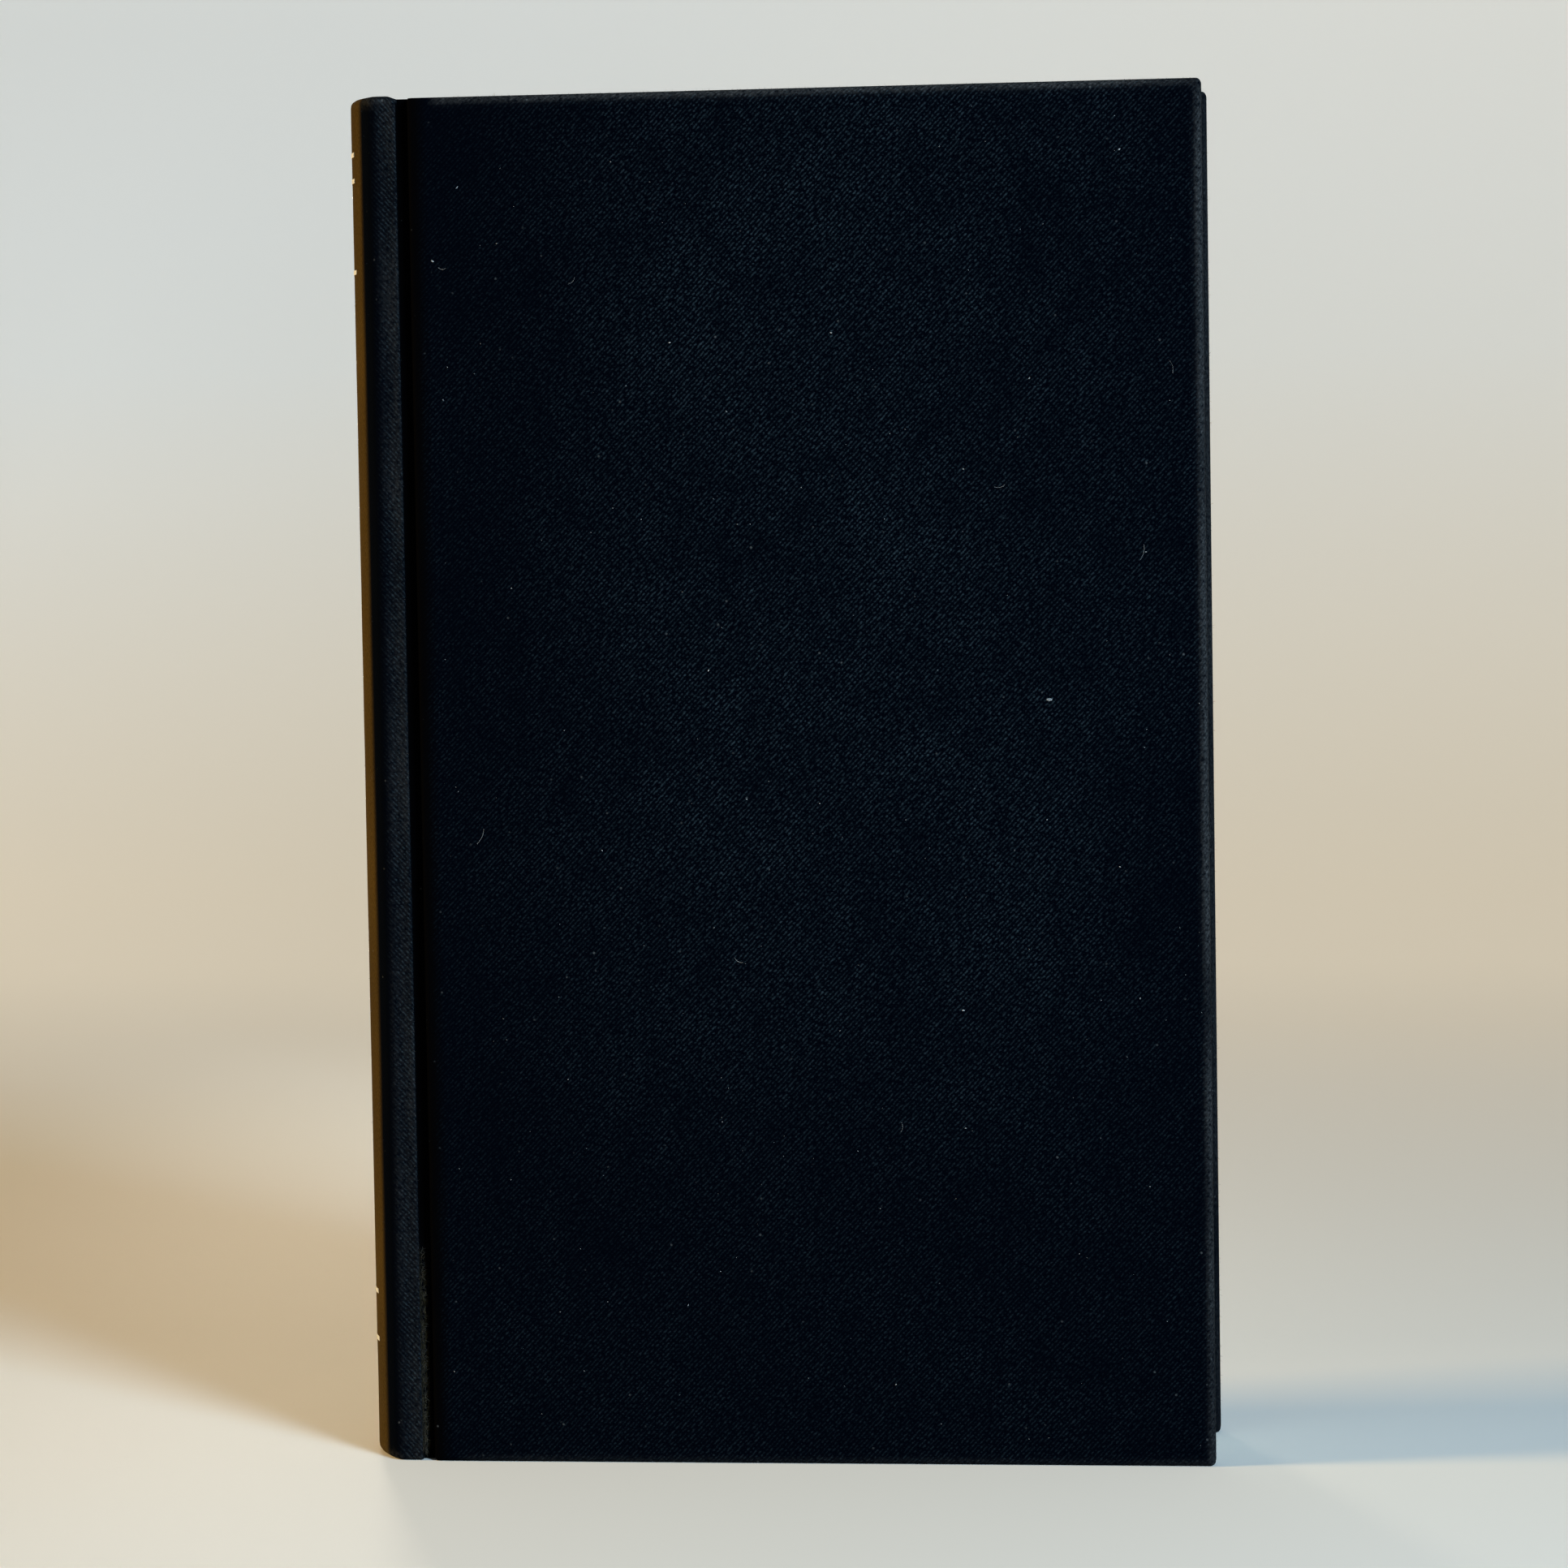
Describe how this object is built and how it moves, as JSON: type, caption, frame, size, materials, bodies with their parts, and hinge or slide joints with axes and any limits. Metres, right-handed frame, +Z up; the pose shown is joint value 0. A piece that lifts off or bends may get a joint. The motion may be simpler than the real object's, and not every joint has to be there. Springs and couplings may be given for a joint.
{
  "type": "hardback book",
  "caption": "Cloth-bound hardback book with a rounded hollow back, grooved joints and covers that open on both sides, standing on its tail edge.",
  "frame": {"origin": "centre of the book's footprint, on the surface that its tail edge stands on", "axes": "+Z up from tail to head, +X from the spine to the fore edge, the front cover faces -Y"},
  "size_m": [0.132, 0.03, 0.21],
  "materials": {
    "book_cloth": "fine black twill weave, matt, slightly fuzzy",
    "grey_board": "dense grey board",
    "mull_gauze": "open starched gauze",
    "endpaper": "smooth uncoated paper",
    "page_paper": "cut edges of uncoated pages",
    "lining_paper": "brown lining paper",
    "band_thread": "corded cotton band",
    "stamping_foil": "pale stamped foil, slightly worn"
  },
  "bodies": {
    "text_block": {"page_block": "page_paper", "spine_cloth": "book_cloth", "front_joint_cloth": "book_cloth", "rear_joint_cloth": "book_cloth", "spine_inlay": "grey_board", "spine_lining": "lining_paper", "mull": "mull_gauze", "headband": "band_thread", "tailband": "band_thread", "front_flyleaf": "endpaper", "rear_flyleaf": "endpaper", "spine_rules": "stamping_foil"},
    "front_cover": {"front_board": "grey_board", "front_cover_cloth": "book_cloth", "front_mull_wing": "mull_gauze", "front_pastedown": "endpaper"},
    "rear_cover": {"rear_board": "grey_board", "rear_cover_cloth": "book_cloth", "rear_mull_wing": "mull_gauze", "rear_pastedown": "endpaper"}
  },
  "joints": [
    {"name": "front_cover_hinge", "type": "hinge", "parent": "text_block", "child": "front_cover", "pos_m": [-0.0563, -0.0147, 0.105], "axis": [0, 0, -1], "range_deg": [0, 170]},
    {"name": "rear_cover_hinge", "type": "hinge", "parent": "text_block", "child": "rear_cover", "pos_m": [-0.0563, 0.0147, 0.105], "axis": [0, 0, 1], "range_deg": [0, 170]}
  ]
}
